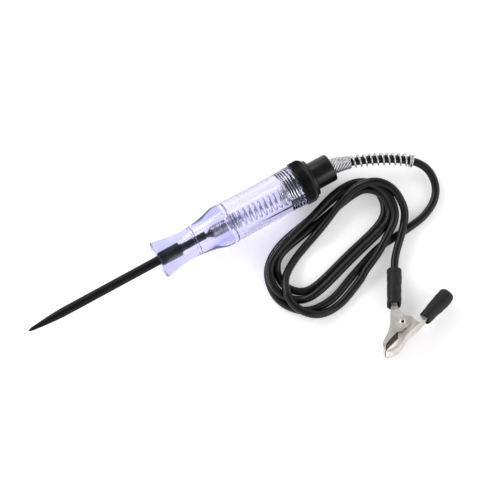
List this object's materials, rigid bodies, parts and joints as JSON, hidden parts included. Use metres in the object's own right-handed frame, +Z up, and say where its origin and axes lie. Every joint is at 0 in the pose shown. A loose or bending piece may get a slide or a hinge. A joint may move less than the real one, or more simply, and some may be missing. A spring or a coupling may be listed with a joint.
{
  "type": "circuit test light",
  "caption": "Pocket circuit test light: steel probe, clear handle with a lamp and spring inside, ribbed screw cap, coiled black lead and an earth clip.",
  "frame": {"origin": "on the surface the tool lies on, straight below the middle of the handle's length (probe point to collar end)", "axes": "+X along the handle from the probe's point towards the cap, +Z up from the surface, +Y to the left looking along +X"},
  "size_m": [0.1984, 0.1007, 0.0208],
  "materials": {
    "handle_barrel": "clear, faintly lilac, moulded and glossy",
    "probe_needle": "steel, blacked and oiled, ground to a point",
    "lamp_contact": "solder-tipped",
    "lamp_insulator": "black glass",
    "lamp_shell": "rolled thread, satin",
    "lamp_glass": "clear",
    "lamp_filament": "fine drawn wire on its mount",
    "lamp_spring": "drawn spring wire",
    "contact_disc": "tinned, bright",
    "screw_cap": "black, ribbed and softly shiny",
    "end_collar": "black, smooth",
    "lead_core": "copper strands, tinned",
    "lead_ferrule": "crimped",
    "relief_sleeve": "close-wound wire, satin",
    "relief_spring": "open-wound wire, satin",
    "lead_in": "black flexible vinyl",
    "lead_coil": "black flexible vinyl",
    "lead_out": "black flexible vinyl",
    "lead_end_core": "copper strands, soldered",
    "clip_lever_lead": "pressed steel, nickel plated",
    "clip_lever_thumb": "pressed steel, nickel plated",
    "clip_rivet": "nickel plated, domed",
    "clip_spring": "drawn spring wire",
    "boot_lead": "black soft vinyl",
    "boot_thumb": "black soft vinyl"
  },
  "bodies": {
    "cap": {"screw_cap": "screw_cap", "end_collar": "end_collar", "contact_disc": "contact_disc", "lead_core": "lead_core", "lead_ferrule": "lead_ferrule", "relief_sleeve": "relief_sleeve", "relief_spring": "relief_spring", "lead_in": "lead_in", "lead_coil": "lead_coil", "lead_out": "lead_out", "lead_end_core": "lead_end_core", "clip_lever_lead": "clip_lever_lead", "clip_rivet": "clip_rivet", "boot_lead": "boot_lead", "lamp_spring": "lamp_spring", "clip_spring": "clip_spring"},
    "lamp": {"lamp_contact": "lamp_contact", "lamp_insulator": "lamp_insulator", "lamp_shell": "lamp_shell", "lamp_glass": "lamp_glass", "lamp_filament": "lamp_filament"},
    "barrel": {"handle_barrel": "handle_barrel", "probe_needle": "probe_needle"},
    "thumb_lever": {"clip_lever_thumb": "clip_lever_thumb", "boot_thumb": "boot_thumb"}
  },
  "joints": [
    {"name": "lamp_travel", "type": "slide", "parent": "cap", "child": "lamp", "axis": [-1, 0, 0], "range_m": [0, 0.0054], "deforming": ["lamp_spring"]},
    {"name": "barrel_unscrew", "type": "hinge", "parent": "lamp", "child": "barrel", "pos_m": [0, 0, 0.0104], "axis": [-1, 0, 0], "range_deg": [0, 1622]},
    {"name": "clip_jaw", "type": "hinge", "parent": "cap", "child": "thumb_lever", "pos_m": [0.0703, -0.0802, 0.0072], "axis": [0.0175, 0.1281, 0.9916], "range_deg": [0, 30], "stiffness_Nm_per_rad": 0.08, "springref_deg": -68.75, "deforming": ["clip_spring"]}
  ],
  "couplings": [
    {"joint": "barrel_unscrew", "follows": "lamp_travel", "rad_per_m": 5236}
  ]
}
